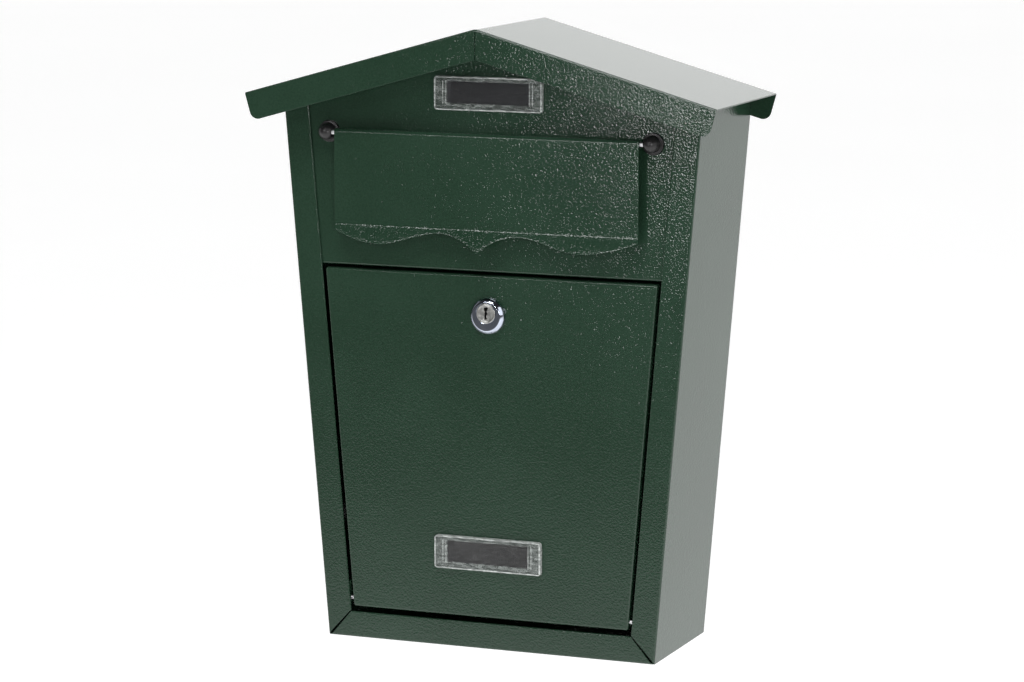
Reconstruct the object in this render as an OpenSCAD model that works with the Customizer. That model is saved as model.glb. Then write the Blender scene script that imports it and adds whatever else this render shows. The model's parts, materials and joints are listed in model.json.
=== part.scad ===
// Wall mounted mailbox with a gable roof, a letter flap and a bottom hinged door.
// Millimetres. X runs across the front, Y runs back into the wall, Z is up.
// The origin is on the wall plane, in the middle of the four wall holes. Heights
// below are counted from the bottom of the body, and hung() lowers each piece.

/* [Body] */
// Height of the roof ridge above the bottom
ridge_h = 360; // [345:1:375]
// Width of the body across its bottom
bottom_w = 203; // [195:1:210]
// Width of the body where its walls meet the roof
top_w = 257; // [250:1:262]
// Depth of the body from the wall to the front strips
body_d = 87; // [80:1:100]
// Thickness of the painted sheet steel
sheet = 0.8; // [0.6:0.1:1]
// Width of the strips that frame the front
strip_w = 15.6; // [14:0.1:17]
// Width of the hem folded behind each strip
hem_w = 5; // [4:0.5:7]
// Width of the welding flanges inside the body
flange_w = 10; // [8:1:14]

/* [Roof] */
// Angle of each roof slope
roof_angle = 15.7; // [14:0.1:17]
// Width of the roof across its eaves
roof_w = 286; // [280:1:292]
// How far the roof stands out in front of the body
roof_front = 20; // [16:1:24]
// Height of the front and rear fascias, square to the slope
fascia_h = 16.8; // [14:0.2:20]
// Radius of the lower corners of each fascia
fascia_r = 5; // [3:0.5:7]
// Width of the open seam in each fascia below the ridge
seam_w = 0.5; // [0.3:0.1:1]

/* [Front panel] */
// Height of the lower edge of the front panel
panel_z = 220; // [215:1:225]
// Depth of the catch flange along that edge
catch_d = 16; // [14:0.5:17]
// Width of the letter slot
slot_w = 168; // [150:1:172]
// Height of the letter slot
slot_h = 32; // [25:1:33]
// Height of the lower edge of the letter slot
slot_z = 253; // [250:1:255]

/* [Door] */
// Gap between the door and the side strips
door_gap = 2; // [1.5:0.1:2.5]
// Gap between the door and the front panel
door_top_gap = 1.8; // [1.5:0.1:2.5]
// Height of the lower edge of the door
door_z = 18.5; // [18:0.1:19.5]
// Depth of the folded rim around the door
rim_d = 8; // [6:0.5:10]
// Height of the hinge pins above the lower edge of the door
pin_rise = 4.5; // [4:0.1:5.5]
// Distance of the hinge pins behind the front face
pin_back = 2.95; // [2.95:0.05:3.2]
// Diameter of the hinge pins
pin_d = 2.5; // [2:0.1:2.6]

/* [Letter flap] */
// Width of the flap
flap_w = 186; // [176:1:186]
// Height of the rod that the flap swings on
rod_z = 297.3; // [296:0.1:299]
// Distance of the rod in front of the front strips
rod_front = 4.2; // [4:0.1:5]
// Diameter of the rod
rod_d = 3; // [2.5:0.1:3]
// Height of the crease between the face and the lip
crease_z = 245; // [243:1:247]
// Angle of the lip away from the face
lip_angle = 20; // [0:1:30]
// Depth of the lip at its two ends
lip_end = 3.2; // [2:0.1:4]
// Depth of the lip at its two rounded lobes
lip_lobe = 11; // [9:0.1:12]
// Depth of the lip at the crests between the lobes and the point
lip_crest = 3.2; // [2:0.1:5]
// Depth of the lip at its middle point
lip_point = 14; // [12:0.1:16]
// Distance from the middle point to the bottom of each lobe
lobe_x = 61.5; // [55:0.5:65]
// Distance from the middle point to each crest
crest_x = 24; // [20:0.5:28]
// Distance of the middle point to the right of the centre line
point_x = -3.5; // [-5:0.5:5]

/* [Rod brackets] */
// Distance of each bracket from the centre line
bracket_x = 99; // [99:0.2:100]
// Diameter of the round base
bracket_base_d = 12.5; // [12:0.5:13]
// Diameter of the domed boss
bracket_boss_d = 9.5; // [9:0.1:9.5]
// Diameter of the peg that snaps into the front panel
bracket_peg_d = 4; // [3:0.5:5]

/* [Lock] */
// Height of the centre of the lock
lock_z = 195.2; // [193:0.2:197]
// Diameter of the rim that sits on the door
lock_rim_d = 21; // [20:0.5:23]
// Diameter of the raised face
lock_face_d = 18; // [17:0.5:18]
// How far the raised face stands off the door
lock_face_h = 4; // [3:0.5:5]
// Diameter of the threaded barrel
barrel_d = 16; // [15.5:0.5:16]
// Length of the barrel behind the door face
barrel_l = 19; // [18.5:0.5:19.5]
// Distance across the two flats of the barrel
barrel_flats = 14; // [13.5:0.5:15]
// Diameter of the head of the plug
plug_head_d = 11.5; // [11:0.5:12]
// Diameter of the shank of the plug
plug_d = 10; // [9.6:0.1:10]
// Distance of the plug above the centre of the barrel
plug_up = 1.8; // [1.5:0.1:2]
// Number of wafers in the plug
wafers = 5; // [4:1:5]
// Length of the cam from the centre of the plug
cam_l = 30; // [28:1:32]
// Width of the cam
cam_w = 10; // [9:1:12]

/* [Name plates] */
// Length of each clear cover
plate_w = 66; // [60:1:70]
// Height of each clear cover
plate_h = 19.5; // [18:0.5:21]
// Thickness of each clear cover
plate_t = 3; // [2.5:0.1:3.5]
// Length of the window
window_w = 49.5; // [45:0.5:52]
// Height of the window
window_h = 12.3; // [10:0.1:12.5]
// Distance of the window above the middle of the cover
window_up = 0.6; // [0:0.1:1]
// Height of the middle of the upper plate
upper_plate_z = 321.8; // [318:0.2:322]
// Height of the middle of the lower plate
lower_plate_z = 56.1; // [50:0.1:60]

/* [Wall holes] */
// Distance between the wall holes across the back
wall_hole_dx = 140; // [120:5:150]
// Distance between the upper and the lower wall holes
wall_hole_dz = 200; // [180:5:210]
// Height of the lower wall holes
wall_hole_z = 60; // [50:5:65]
// Diameter of the wall holes
wall_hole_d = 6; // [5:0.5:7]

/* [Hidden] */
$fn = 64;

paint = [0.15, 0.24, 0.19];
zinc = [0.78, 0.78, 0.8];
black = [0.06, 0.06, 0.07];
clear = [0.85, 0.88, 0.88, 0.5];

far = 400;                            // longer than anything on the mailbox
front_y = -body_d;                    // outer face of the front strips
panel_y = front_y + 2 * sheet;        // front face of the front panel, behind the hems
slope = tan(roof_angle);
roof_drop = sheet / cos(roof_angle);  // the roof sheet measured straight down
wall_top = ridge_h - roof_drop - top_w / 2 * slope;  // where the side walls meet the roof
taper = (top_w - bottom_w) / 2 / wall_top;
mitre_gap = 0.6;

door_top = panel_z - door_top_gap;
pin_z = door_z + pin_rise;
pin_y = front_y + pin_back;
pin_fit = 0.05;
pin_head_d = 3.8;
ear_t = 1.2;
ear_gap = 0.4;
ear_h = 14;
ear_d = 7;

rod_y = front_y - rod_front;
rod_fit = 0.08;
curl_r = rod_d / 2 + rod_fit + sheet;
flap_y = rod_y - curl_r;              // outer face of the flap, level with the front of its curl
bracket_in = 2.6;                     // how deep the rod reaches into each boss
peg_l = 4.6;
peg_fit = 0.05;
barb = 0.5;

plug_z = lock_z + plug_up;
plug_fit = 0.05;
barrel_end = front_y + barrel_l;
washer_t = 0.8;
washer_d = 22;
nut_af = 21;
nut_t = 3.5;
rim_t = 1.2;
head_t = 1.6;
head_proud = 0.2;
cam_t = 1.8;
cam_gap = 0.3;
tail = 6;
screw_d = 4;
screw_head_d = 7;
screw_head_t = 2.2;
screw_l = 6;
keyway_w = 1.1;
keyway_h = 7.4;
keyway_l = 17;
wafer_t = 0.7;
wafer_w = 5.4;
wafer_h = 8.2;
wafer_pitch = 2.4;
wafer_y = front_y + 1;                // front of the first wafer

cover_wall = 1.2;
card_t = 0.4;
card_edge = 1;
plate_peg_d = 2.4;
plate_peg_x = plate_w / 2 - 3.6;

function half_w(z) = bottom_w / 2 + taper * z;
function strip_in(z) = half_w(z) - strip_w;
function door_half(z) = strip_in(z) - door_gap;
function roof_under(x) = ridge_h - roof_drop - abs(x) * slope;

// Brings a piece from the bottom of the body down to the middle of the wall holes
module hung() {
    translate([0, 0, -wall_hole_z - wall_hole_dz / 2]) children();
}

// A flat shape drawn as [x, z], from y0 back to y0 + t
module upright(y0, t) {
    translate([0, y0 + t, 0]) rotate([90, 0, 0]) linear_extrude(t) children();
}

// A round bar along Y, from y0 back to y0 + l
module bar_y(d, y0, l, x = 0, z = 0) {
    translate([x, y0, z]) rotate([-90, 0, 0]) cylinder(d = d, h = l);
}

// A round bar along X, from x0 to x0 + l
module bar_x(d, x0, l, y, z) {
    translate([x0, y, z]) rotate([0, 90, 0]) cylinder(d = d, h = l);
}

// Everything below the inside of the roof, lowered by more
module under_roof_outline(more = 0) {
    polygon([[-far, -far], [far, -far], [far, roof_under(far) - more],
             [0, roof_under(0) - more], [-far, roof_under(far) - more]]);
}

module under_roof(more = 0) {
    upright(-far, 2 * far) under_roof_outline(more);
}

// One half of the roof: a channel running down the slope, cut upright at the ridge
module roof_half() {
    depth = body_d + roof_front;
    run = roof_w / 2 / cos(roof_angle);
    intersection() {
        translate([0, 0, ridge_h]) rotate([0, roof_angle, 0])
            difference() {
                translate([-fascia_h, -depth, -fascia_h]) cube([run + fascia_h, depth, fascia_h]);
                translate([-far, sheet - depth, -far - sheet]) cube([2 * far, depth - 2 * sheet, far]);
                for (y = [-depth, -sheet])
                    translate([run - fascia_r, y - 1, -fascia_h]) difference() {
                        translate([0, 0, -1]) cube([fascia_r + 1, sheet + 2, fascia_r + 1]);
                        translate([0, 0, fascia_r]) rotate([-90, 0, 0]) cylinder(r = fascia_r, h = sheet + 2);
                    }
            }
        translate([0, -far, 0]) cube([far, 2 * far, 2 * far]);
    }
}

module roof() {
    color(paint) difference() {
        union() {
            roof_half();
            mirror([1, 0, 0]) roof_half();
        }
        for (y = [-body_d - roof_front, -sheet])
            translate([-seam_w / 2, y - 1, ridge_h - far - roof_drop]) cube([seam_w, sheet + 2, far]);
    }
}

// Outline of the strip down one side of the front, cut at the mitre
module strip_outline(w) {
    polygon([[half_w(0), mitre_gap], [half_w(far), far], [half_w(far) - w, far],
             [half_w(strip_w) - w, strip_w + mitre_gap]]);
}

module side_wall() {
    difference() {
        intersection() {
            union() {
                upright(front_y, body_d)
                    polygon([[half_w(0), 0], [half_w(far), far], [half_w(far) - sheet, far], [half_w(0) - sheet, 0]]);
                upright(front_y, sheet) strip_outline(strip_w);
                upright(front_y, 2 * sheet)
                    polygon([[strip_in(strip_w) + hem_w, strip_w + hem_w], [strip_in(far) + hem_w, far],
                             [strip_in(far), far], [strip_in(strip_w), strip_w + mitre_gap]]);
            }
            under_roof();
        }
        // clears the rear fascia, which lies flush with the back
        translate([0, -sheet, roof_under(top_w / 2) - fascia_h / cos(roof_angle)]) cube([far, sheet + 1, far]);
    }
}

module right_side() { color(paint) side_wall(); }

module left_side() { color(paint) mirror([1, 0, 0]) side_wall(); }

// Area between the inner faces of the side walls, from z0 up, with its sides set in by more
module between_walls(z0, more = 0) {
    polygon([[half_w(z0) - sheet - more, z0], [half_w(far) - sheet - more, far],
             [-half_w(far) + sheet + more, far], [-half_w(z0) + sheet + more, z0]]);
}

// The back is a shallow tray whose top steps forward behind the rear fascia
module back_panel() {
    step_z = roof_under(top_w / 2) - fascia_h / cos(roof_angle);
    overlap = 2;
    color(paint) difference() {
        upright(-flange_w, flange_w) intersection() {
            between_walls(sheet);
            under_roof_outline();
        }
        upright(-far, far - 2 * sheet) inside_back();
        upright(-far, far - sheet) intersection() {
            inside_back();
            translate([-far, -far]) square([2 * far, far + step_z - overlap]);
        }
        translate([-far, -sheet, step_z]) cube([2 * far, sheet + 1, far]);
        for (x = [-1, 1], z = [0, 1])
            bar_y(wall_hole_d, -flange_w, 2 * flange_w, x * wall_hole_dx / 2, wall_hole_z + z * wall_hole_dz);
    }
}

module inside_back() {
    intersection() {
        between_walls(2 * sheet, sheet);
        under_roof_outline(roof_drop);
    }
}

// Floor with the bottom strip of the front and a flange up each side wall
module bottom_pan() {
    flange_z = flange_w + sheet;
    color(paint) union() {
        upright(front_y, body_d)
            polygon([[half_w(0) - sheet, 0], [half_w(sheet) - sheet, sheet],
                     [-half_w(sheet) + sheet, sheet], [-half_w(0) + sheet, 0]]);
        upright(front_y, sheet)
            polygon([[half_w(0) - mitre_gap - sheet, 0], [strip_in(strip_w), strip_w - mitre_gap / 2],
                     [-strip_in(strip_w), strip_w - mitre_gap / 2], [-half_w(0) + mitre_gap + sheet, 0]]);
        translate([-strip_in(strip_w) + hem_w, front_y, strip_w - mitre_gap / 2 - hem_w])
            cube([2 * (strip_in(strip_w) - hem_w), 2 * sheet, hem_w]);
        for (side = [0, 1]) mirror([side, 0, 0])
            upright(front_y + ear_d + 3, body_d - ear_d - 3 - flange_w - 1)
                polygon([[half_w(0) - sheet, 0], [half_w(flange_z) - sheet, flange_z],
                         [half_w(flange_z) - 2 * sheet, flange_z], [half_w(0) - 2 * sheet, 0]]);
    }
}

module front_panel() {
    side_gap = 0.2;
    color(paint) intersection() {
        difference() {
            union() {
                upright(panel_y, sheet) between_walls(panel_z, side_gap);
                // catch flange along the lower edge
                upright(panel_y, catch_d) intersection() {
                    between_walls(panel_z, side_gap);
                    translate([-far, panel_z]) square([2 * far, sheet]);
                }
                // folded back under the roof
                difference() {
                    upright(panel_y, flange_w) between_walls(slot_z, side_gap);
                    under_roof(sheet);
                }
            }
            translate([-slot_w / 2, panel_y - 1, slot_z]) cube([slot_w, sheet + 2, slot_h]);
            for (side = [-1, 1]) {
                bar_y(bracket_peg_d + 2 * peg_fit, panel_y - 1, sheet + 2, side * bracket_x, rod_z);
                bar_y(plate_peg_d + 2 * peg_fit, panel_y - 1, sheet + 2, side * plate_peg_x, upper_plate_z);
            }
        }
        under_roof();
    }
}

// Angle piece behind the side strip that carries the hinge pin
module hinge_ear() {
    x0 = strip_in(pin_z) + ear_gap;
    z0 = pin_z - ear_h / 2 + 3;
    leaf_z = pin_z + pin_d;
    color(paint) difference() {
        union() {
            translate([x0, panel_y, z0]) cube([ear_t, ear_d - 2 * sheet, ear_h]);
            // the leaf behind the strip starts above the pin
            translate([x0, panel_y, leaf_z]) cube([hem_w + 4, sheet, z0 + ear_h - leaf_z]);
        }
        bar_x(pin_d + 2 * pin_fit, x0 - 1, ear_t + 2, pin_y, pin_z);
    }
}

module right_hinge_ear() { hinge_ear(); }

module left_hinge_ear() { mirror([1, 0, 0]) hinge_ear(); }

// Pushed out from inside the door, through its rim, into the ear
module hinge_pin() {
    x0 = door_half(pin_z) - 3;
    x1 = strip_in(pin_z) + ear_gap + ear_t + 0.5;
    color(zinc) union() {
        bar_x(pin_head_d, x0 - 1, 1, pin_y, pin_z);
        bar_x(pin_d, x0, x1 - x0, pin_y, pin_z);
    }
}

module right_hinge_pin() { hinge_pin(); }

module left_hinge_pin() { mirror([1, 0, 0]) hinge_pin(); }

module flap_rod() {
    half = bracket_x - bracket_boss_d / 2 + bracket_in;
    color(zinc) bar_x(rod_d, -half, 2 * half, rod_y, rod_z);
}

// Round base, domed boss with a blind hole for the rod, and a barbed peg
module rod_bracket(side) {
    base_t = 2;
    dome_y = rod_y + 1.2;
    hole_l = bracket_boss_d / 2 + bracket_in;
    color(black) translate([side * bracket_x, 0, rod_z]) difference() {
        union() {
            bar_y(bracket_base_d, panel_y - base_t, base_t);
            bar_y(bracket_boss_d, dome_y, panel_y - base_t - dome_y);
            translate([0, dome_y, 0]) sphere(d = bracket_boss_d);
            bar_y(bracket_peg_d, panel_y - 0.1, peg_l);
            translate([0, panel_y + sheet + 0.4, 0]) rotate([-90, 0, 0])
                cylinder(d1 = bracket_peg_d + 2 * barb, d2 = bracket_peg_d - 2 * barb, h = peg_l - sheet);
        }
        bar_x(rod_d + 0.04, side > 0 ? -bracket_boss_d : bracket_boss_d - hole_l, hole_l, rod_y, 0);
    }
}

module right_rod_bracket() { rod_bracket(1); }

module left_rod_bracket() { rod_bracket(-1); }

// Clear cover over a pocket for the card, with a window frame and a peg at each end
module plate_cover(y, z) {
    frame_t = 0.6;
    color(clear) translate([0, y, z]) difference() {
        union() {
            translate([-plate_w / 2, -plate_t, -plate_h / 2]) cube([plate_w, plate_t, plate_h]);
            for (side = [-1, 1]) {
                bar_y(plate_peg_d, -plate_t, plate_t + 3, side * plate_peg_x);
                translate([side * plate_peg_x, sheet + 0.3, 0]) rotate([-90, 0, 0])
                    cylinder(d1 = plate_peg_d + 2 * barb, d2 = plate_peg_d - 2 * barb, h = 2);
            }
        }
        translate([-window_w / 2 - card_edge, cover_wall - plate_t, window_up - window_h / 2 - card_edge])
            cube([window_w + 2 * card_edge, plate_t, window_h + 2 * card_edge]);
        translate([-window_w / 2, -plate_t - 1, window_up - window_h / 2])
            cube([window_w, frame_t + 1, window_h]);
    }
}

module name_card(y, z) {
    color([0.2, 0.2, 0.21])
        translate([-(window_w + card_edge) / 2, y + cover_wall - plate_t, z + window_up - (window_h + card_edge) / 2])
            cube([window_w + card_edge, card_t, window_h + card_edge]);
}

module upper_plate_cover() { plate_cover(panel_y, upper_plate_z); }

module upper_name_card() { name_card(panel_y, upper_plate_z); }

module lower_plate_cover() { plate_cover(front_y, lower_plate_z); }

module lower_name_card() { name_card(front_y, lower_plate_z); }

// Outline of the door, set in by more on every side
module door_outline(more = 0) {
    low = door_z + more;
    high = door_top - more;
    polygon([[door_half(low) - more, low], [door_half(high) - more, high],
             [-door_half(high) + more, high], [-door_half(low) + more, low]]);
}

module barrel_outline(grow = 0) {
    intersection() {
        circle(d = barrel_d + 2 * grow);
        square([barrel_flats + 2 * grow, barrel_d + 2 * grow + 1], center = true);
    }
}

// A tray: flat face with a rim folded back on all four sides
module door() {
    color(paint) difference() {
        upright(front_y, rim_d) door_outline();
        upright(front_y + sheet, rim_d) door_outline(sheet);
        upright(front_y - 1, sheet + 2) translate([0, lock_z]) barrel_outline(0.1);
        bar_x(pin_d + 2 * pin_fit, -far, 2 * far, pin_y, pin_z);
        for (side = [-1, 1])
            bar_y(plate_peg_d + 2 * peg_fit, front_y - 1, sheet + 2, side * plate_peg_x, lower_plate_z);
    }
}

module lock_housing() {
    color(zinc) difference() {
        union() {
            bar_y(lock_rim_d, front_y - rim_t, rim_t, z = lock_z);
            translate([0, front_y - rim_t, lock_z]) rotate([90, 0, 0])
                cylinder(d1 = lock_face_d + 1.4, d2 = lock_face_d, h = lock_face_h - rim_t);
            upright(front_y, barrel_l) translate([0, lock_z]) barrel_outline();
        }
        bar_y(plug_d + 2 * plug_fit, front_y - far / 2, far, z = plug_z);
        bar_y(plug_head_d + 2 * plug_fit, front_y - far, far - lock_face_h + head_t, z = plug_z);
    }
}

module lock_washer() {
    color(zinc) difference() {
        bar_y(washer_d, front_y + sheet, washer_t, z = lock_z);
        bar_y(barrel_d + 0.2, front_y, far, z = lock_z);
    }
}

module lock_nut() {
    color(zinc) difference() {
        upright(front_y + sheet + washer_t, nut_t) translate([0, lock_z]) circle(d = nut_af / cos(30), $fn = 6);
        bar_y(barrel_d + 0.1, front_y, far, z = lock_z);
    }
}

module wafer_block(grow, y) {
    translate([0, y, plug_z]) translate([-wafer_w / 2 - grow, -grow, -wafer_h / 2 - grow])
        cube([wafer_w + 2 * grow, wafer_t + 2 * grow, wafer_h + 2 * grow]);
}

module lock_plug() {
    head_y = front_y - lock_face_h - head_proud;
    color(zinc) difference() {
        union() {
            bar_y(plug_head_d, head_y, head_t + head_proud, z = plug_z);
            bar_y(plug_d, head_y + head_t, barrel_end + cam_gap - head_y - head_t, z = plug_z);
            translate([-tail / 2, barrel_end, plug_z - tail / 2]) cube([tail, cam_gap + cam_t, tail]);
        }
        translate([-keyway_w / 2, head_y - 1, plug_z - keyway_h / 2]) cube([keyway_w, keyway_l, keyway_h]);
        for (i = [0 : wafers - 1]) wafer_block(0.1, wafer_y + i * wafer_pitch);
        bar_y(screw_d - 0.6, barrel_end + cam_gap + cam_t - screw_l, far, z = plug_z);
    }
}

// Flat wafers with a window for the key
module lock_wafers() {
    color("goldenrod") for (i = [0 : wafers - 1]) difference() {
        wafer_block(0, wafer_y + i * wafer_pitch);
        translate([-1, front_y - far / 2, plug_z - keyway_h / 2 + 0.8]) cube([2, far, keyway_h - 1.6]);
    }
}

// Points to the left at rest, unlocked, and up when the plug is turned
module lock_cam() {
    y0 = barrel_end + cam_gap;
    color(zinc) difference() {
        union() {
            bar_y(cam_w + 2, y0, cam_t, z = plug_z);
            bar_y(cam_w, y0, cam_t, x = cam_w / 2 - cam_l, z = plug_z);
            translate([cam_w / 2 - cam_l, y0, plug_z - cam_w / 2]) cube([cam_l - cam_w / 2, cam_t, cam_w]);
        }
        translate([-tail / 2 - 0.05, y0 - 1, plug_z - tail / 2 - 0.05]) cube([tail + 0.1, cam_t + 2, tail + 0.1]);
    }
}

module cam_screw() {
    y0 = barrel_end + cam_gap + cam_t;
    color(zinc) difference() {
        union() {
            bar_y(screw_d - 0.7, y0 - screw_l + 1, screw_l, z = plug_z);
            bar_y(screw_head_d + 2, y0, 0.8, z = plug_z);
            bar_y(screw_head_d, y0, screw_head_t, z = plug_z);
        }
        translate([-far, y0 + screw_head_t - 1, plug_z - 0.5]) cube([2 * far, far, 1]);
    }
}

// How deep the lip is at x: two lobes, two crests and a point between them
function lip_depth(x) =
    let (u = abs(x - point_x), half = flap_w / 2 - sign(x - point_x) * point_x)
    u < crest_x ? lip_crest + (lip_point - lip_crest) * pow(1 - u / crest_x, 2) :
    u < lobe_x ? lip_crest + (lip_lobe - lip_crest) * (1 - cos(180 * (u - crest_x) / (lobe_x - crest_x))) / 2 :
    lip_lobe - (lip_lobe - lip_end) * pow((u - lobe_x) / (half - lobe_x), 2);

// Face hung from a curl around the rod, then a lip bent outward with a shaped edge
module letter_flap() {
    step = 1.5;
    bend = 0.3;
    color(paint) union() {
        difference() {
            bar_x(2 * curl_r, -flap_w / 2, flap_w, rod_y, rod_z);
            bar_x(rod_d + 2 * rod_fit, -flap_w, 2 * flap_w, rod_y, rod_z);
        }
        translate([-flap_w / 2, flap_y, crease_z])
            cube([flap_w, sheet, rod_z - crease_z]);
        translate([0, flap_y + sheet, crease_z + bend]) rotate([90 - lip_angle, 0, 0]) linear_extrude(sheet)
            polygon([[-flap_w / 2, 0],
                     for (i = [0 : flap_w / step]) let (x = -flap_w / 2 + i * step) [x, -lip_depth(x) - bend],
                     [flap_w / 2, 0]]);
    }
}

hung() roof();
hung() left_side();
hung() right_side();
hung() back_panel();
hung() bottom_pan();
hung() front_panel();
hung() left_hinge_ear();
hung() right_hinge_ear();
hung() left_hinge_pin();
hung() right_hinge_pin();
hung() flap_rod();
hung() left_rod_bracket();
hung() right_rod_bracket();
hung() upper_plate_cover();
hung() upper_name_card();
hung() door();
hung() lower_plate_cover();
hung() lower_name_card();
hung() lock_housing();
hung() lock_washer();
hung() lock_nut();
hung() lock_plug();
hung() lock_wafers();
hung() lock_cam();
hung() cam_screw();
hung() letter_flap();
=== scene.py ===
import json
import math
import bmesh
import bpy
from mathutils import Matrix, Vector

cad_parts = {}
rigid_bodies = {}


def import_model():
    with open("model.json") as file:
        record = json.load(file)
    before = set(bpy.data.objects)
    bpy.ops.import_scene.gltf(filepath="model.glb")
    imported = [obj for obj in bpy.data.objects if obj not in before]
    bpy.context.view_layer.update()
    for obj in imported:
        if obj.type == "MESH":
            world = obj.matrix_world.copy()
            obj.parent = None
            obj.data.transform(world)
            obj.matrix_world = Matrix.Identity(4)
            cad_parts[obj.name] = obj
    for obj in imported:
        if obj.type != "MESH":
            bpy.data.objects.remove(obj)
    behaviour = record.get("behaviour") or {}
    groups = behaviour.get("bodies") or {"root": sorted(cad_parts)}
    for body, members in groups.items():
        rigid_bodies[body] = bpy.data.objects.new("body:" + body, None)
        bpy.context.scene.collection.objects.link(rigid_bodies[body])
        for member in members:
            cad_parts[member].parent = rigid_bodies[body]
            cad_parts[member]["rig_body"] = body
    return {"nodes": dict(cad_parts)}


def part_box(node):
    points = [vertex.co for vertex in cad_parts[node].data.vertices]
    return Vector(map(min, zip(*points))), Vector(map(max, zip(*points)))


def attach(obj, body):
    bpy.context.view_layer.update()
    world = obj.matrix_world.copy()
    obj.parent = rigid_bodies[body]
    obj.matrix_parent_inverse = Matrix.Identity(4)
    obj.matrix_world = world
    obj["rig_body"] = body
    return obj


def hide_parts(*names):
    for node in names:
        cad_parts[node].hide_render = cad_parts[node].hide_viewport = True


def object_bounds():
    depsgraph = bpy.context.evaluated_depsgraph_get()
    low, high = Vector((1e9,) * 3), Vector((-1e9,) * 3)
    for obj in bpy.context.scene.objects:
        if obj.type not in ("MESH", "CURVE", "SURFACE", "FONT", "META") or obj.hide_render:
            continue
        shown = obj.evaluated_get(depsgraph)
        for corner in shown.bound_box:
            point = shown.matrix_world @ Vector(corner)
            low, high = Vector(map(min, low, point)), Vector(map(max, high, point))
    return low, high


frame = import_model()
cadLow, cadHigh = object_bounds()
print("mailbox: frame loaded")

# Pieces are drawn in millimetres and turned into metres when their mesh is made.
# Finishes and the studio are in metres.
mm = 0.001


# measuring the frame

def boxOf(node):
    low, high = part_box(node)
    return low / mm, high / mm


def farthest(node, direction):  # the corner of a node that lies furthest that way
    way = Vector(direction)
    return max((v.co for v in frame["nodes"][node].data.vertices), key=lambda p: p.dot(way)) / mm


# mesh helpers

def arc(centre, radius, start, end, steps):  # points [u, v], angles in degrees from +u towards +v
    angles = [math.radians(start + (end - start) * i / steps) for i in range(steps + 1)]
    return [(centre[0] + radius * math.cos(t), centre[1] + radius * math.sin(t)) for t in angles]


def spread(start, end, steps):
    return [start + (end - start) * i / steps for i in range(steps + 1)]


def radians(start, end, step):  # angles from start to end, both included, given in degrees
    return [math.radians(a) for a in range(start, end + 1, step)]


def gridOf(rows, skip=None):  # quads between rows of points
    wide = len(rows[0])
    points = [Vector(p) for row in rows for p in row]
    faces = []
    for r in range(len(rows) - 1):
        for c in range(wide - 1):
            if skip and skip(r, c):
                continue
            a = r * wide + c
            faces.append((a, a + 1, a + wide + 1, a + wide))
    return points, faces


def ringsOf(loops, capStart=False, capEnd=False):  # quads between closed loops of points
    wide = len(loops[0])
    points = [Vector(p) for loop in loops for p in loop]
    faces = []
    for r in range(len(loops) - 1):
        for c in range(wide):
            a, b = r * wide + c, r * wide + (c + 1) % wide
            faces.append((a, b, b + wide, a + wide))
    if capStart:
        faces.append(tuple(reversed(range(wide))))
    if capEnd:
        last = (len(loops) - 1) * wide
        faces.append(tuple(range(last, last + wide)))
    return points, faces


def filled(outer, holes):  # a flat face with holes, as triangles
    work = bmesh.new()
    for loop in [outer, *holes]:
        ring = [work.verts.new(p) for p in loop]
        for i, v in enumerate(ring):
            work.edges.new((v, ring[(i + 1) % len(ring)]))
    bmesh.ops.triangle_fill(work, use_beauty=True, edges=work.edges[:])
    work.verts.index_update()
    points = [v.co.copy() for v in work.verts]
    faces = [tuple(v.index for v in f.verts) for f in work.faces]
    work.free()
    return points, faces


def facingAwayFrom(part, inside):  # an open sheet whose faces point away from a place inside
    points, faces = part
    total = 0
    for f in faces:
        corners = [points[i] for i in f[:4]]
        normal = (corners[1] - corners[0]).cross(corners[2] - corners[0])
        total += normal.dot(sum(corners, Vector()) / len(corners) - Vector(inside))
    if total < 0:
        faces = [tuple(reversed(f)) for f in faces]
    return points, faces


def mirrored(part):
    points, faces = part
    return [Vector((-p.x, p.y, p.z)) for p in points], [tuple(reversed(f)) for f in faces]


def joined(parts, name, weld=0.002):
    mesh = bpy.data.meshes.new(name)
    points, faces = [], []
    for partPoints, partFaces in parts:
        start = len(points)
        points += [p * mm for p in partPoints]
        faces += [tuple(i + start for i in f) for f in partFaces]
    mesh.from_pydata(points, [], faces)
    work = bmesh.new()
    work.from_mesh(mesh)
    bmesh.ops.remove_doubles(work, verts=work.verts[:], dist=weld * mm)
    bmesh.ops.dissolve_degenerate(work, edges=work.edges[:], dist=weld * mm / 4)
    work.to_mesh(mesh)
    work.free()
    piece = bpy.data.objects.new(name, mesh)
    bpy.context.scene.collection.objects.link(piece)
    return piece


def settled(piece):  # applies the modifiers
    graph = bpy.context.evaluated_depsgraph_get()
    made = bpy.data.meshes.new_from_object(piece.evaluated_get(graph))
    piece.modifiers.clear()
    piece.data = made
    return piece


def eased(piece, width, angle=50):  # rounds the hard edges
    bevel = piece.modifiers.new("eased edges", "BEVEL")
    bevel.width = width * mm
    bevel.segments = 2
    bevel.limit_method = "ANGLE"
    bevel.angle_limit = math.radians(angle)
    bevel.use_clamp_overlap = True
    return piece


def shaded(piece, sharp=38):  # smooth, with the flat faces kept flat
    piece.data.shade_smooth()
    piece.data.set_sharp_from_angle(angle=math.radians(sharp))
    even = piece.modifiers.new("flat faces", "WEIGHTED_NORMAL")
    even.keep_sharp = True
    return piece


def foldedSheet(parts, name, thickness, edge=0.14):  # the outer skin made into a sheet
    piece = joined(parts, name)
    solid = piece.modifiers.new("sheet", "SOLIDIFY")
    solid.thickness = thickness * mm
    solid.offset = -1
    solid.use_quality_normals = True
    settled(piece)
    eased(piece, edge)
    settled(piece)
    return shaded(piece)


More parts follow.
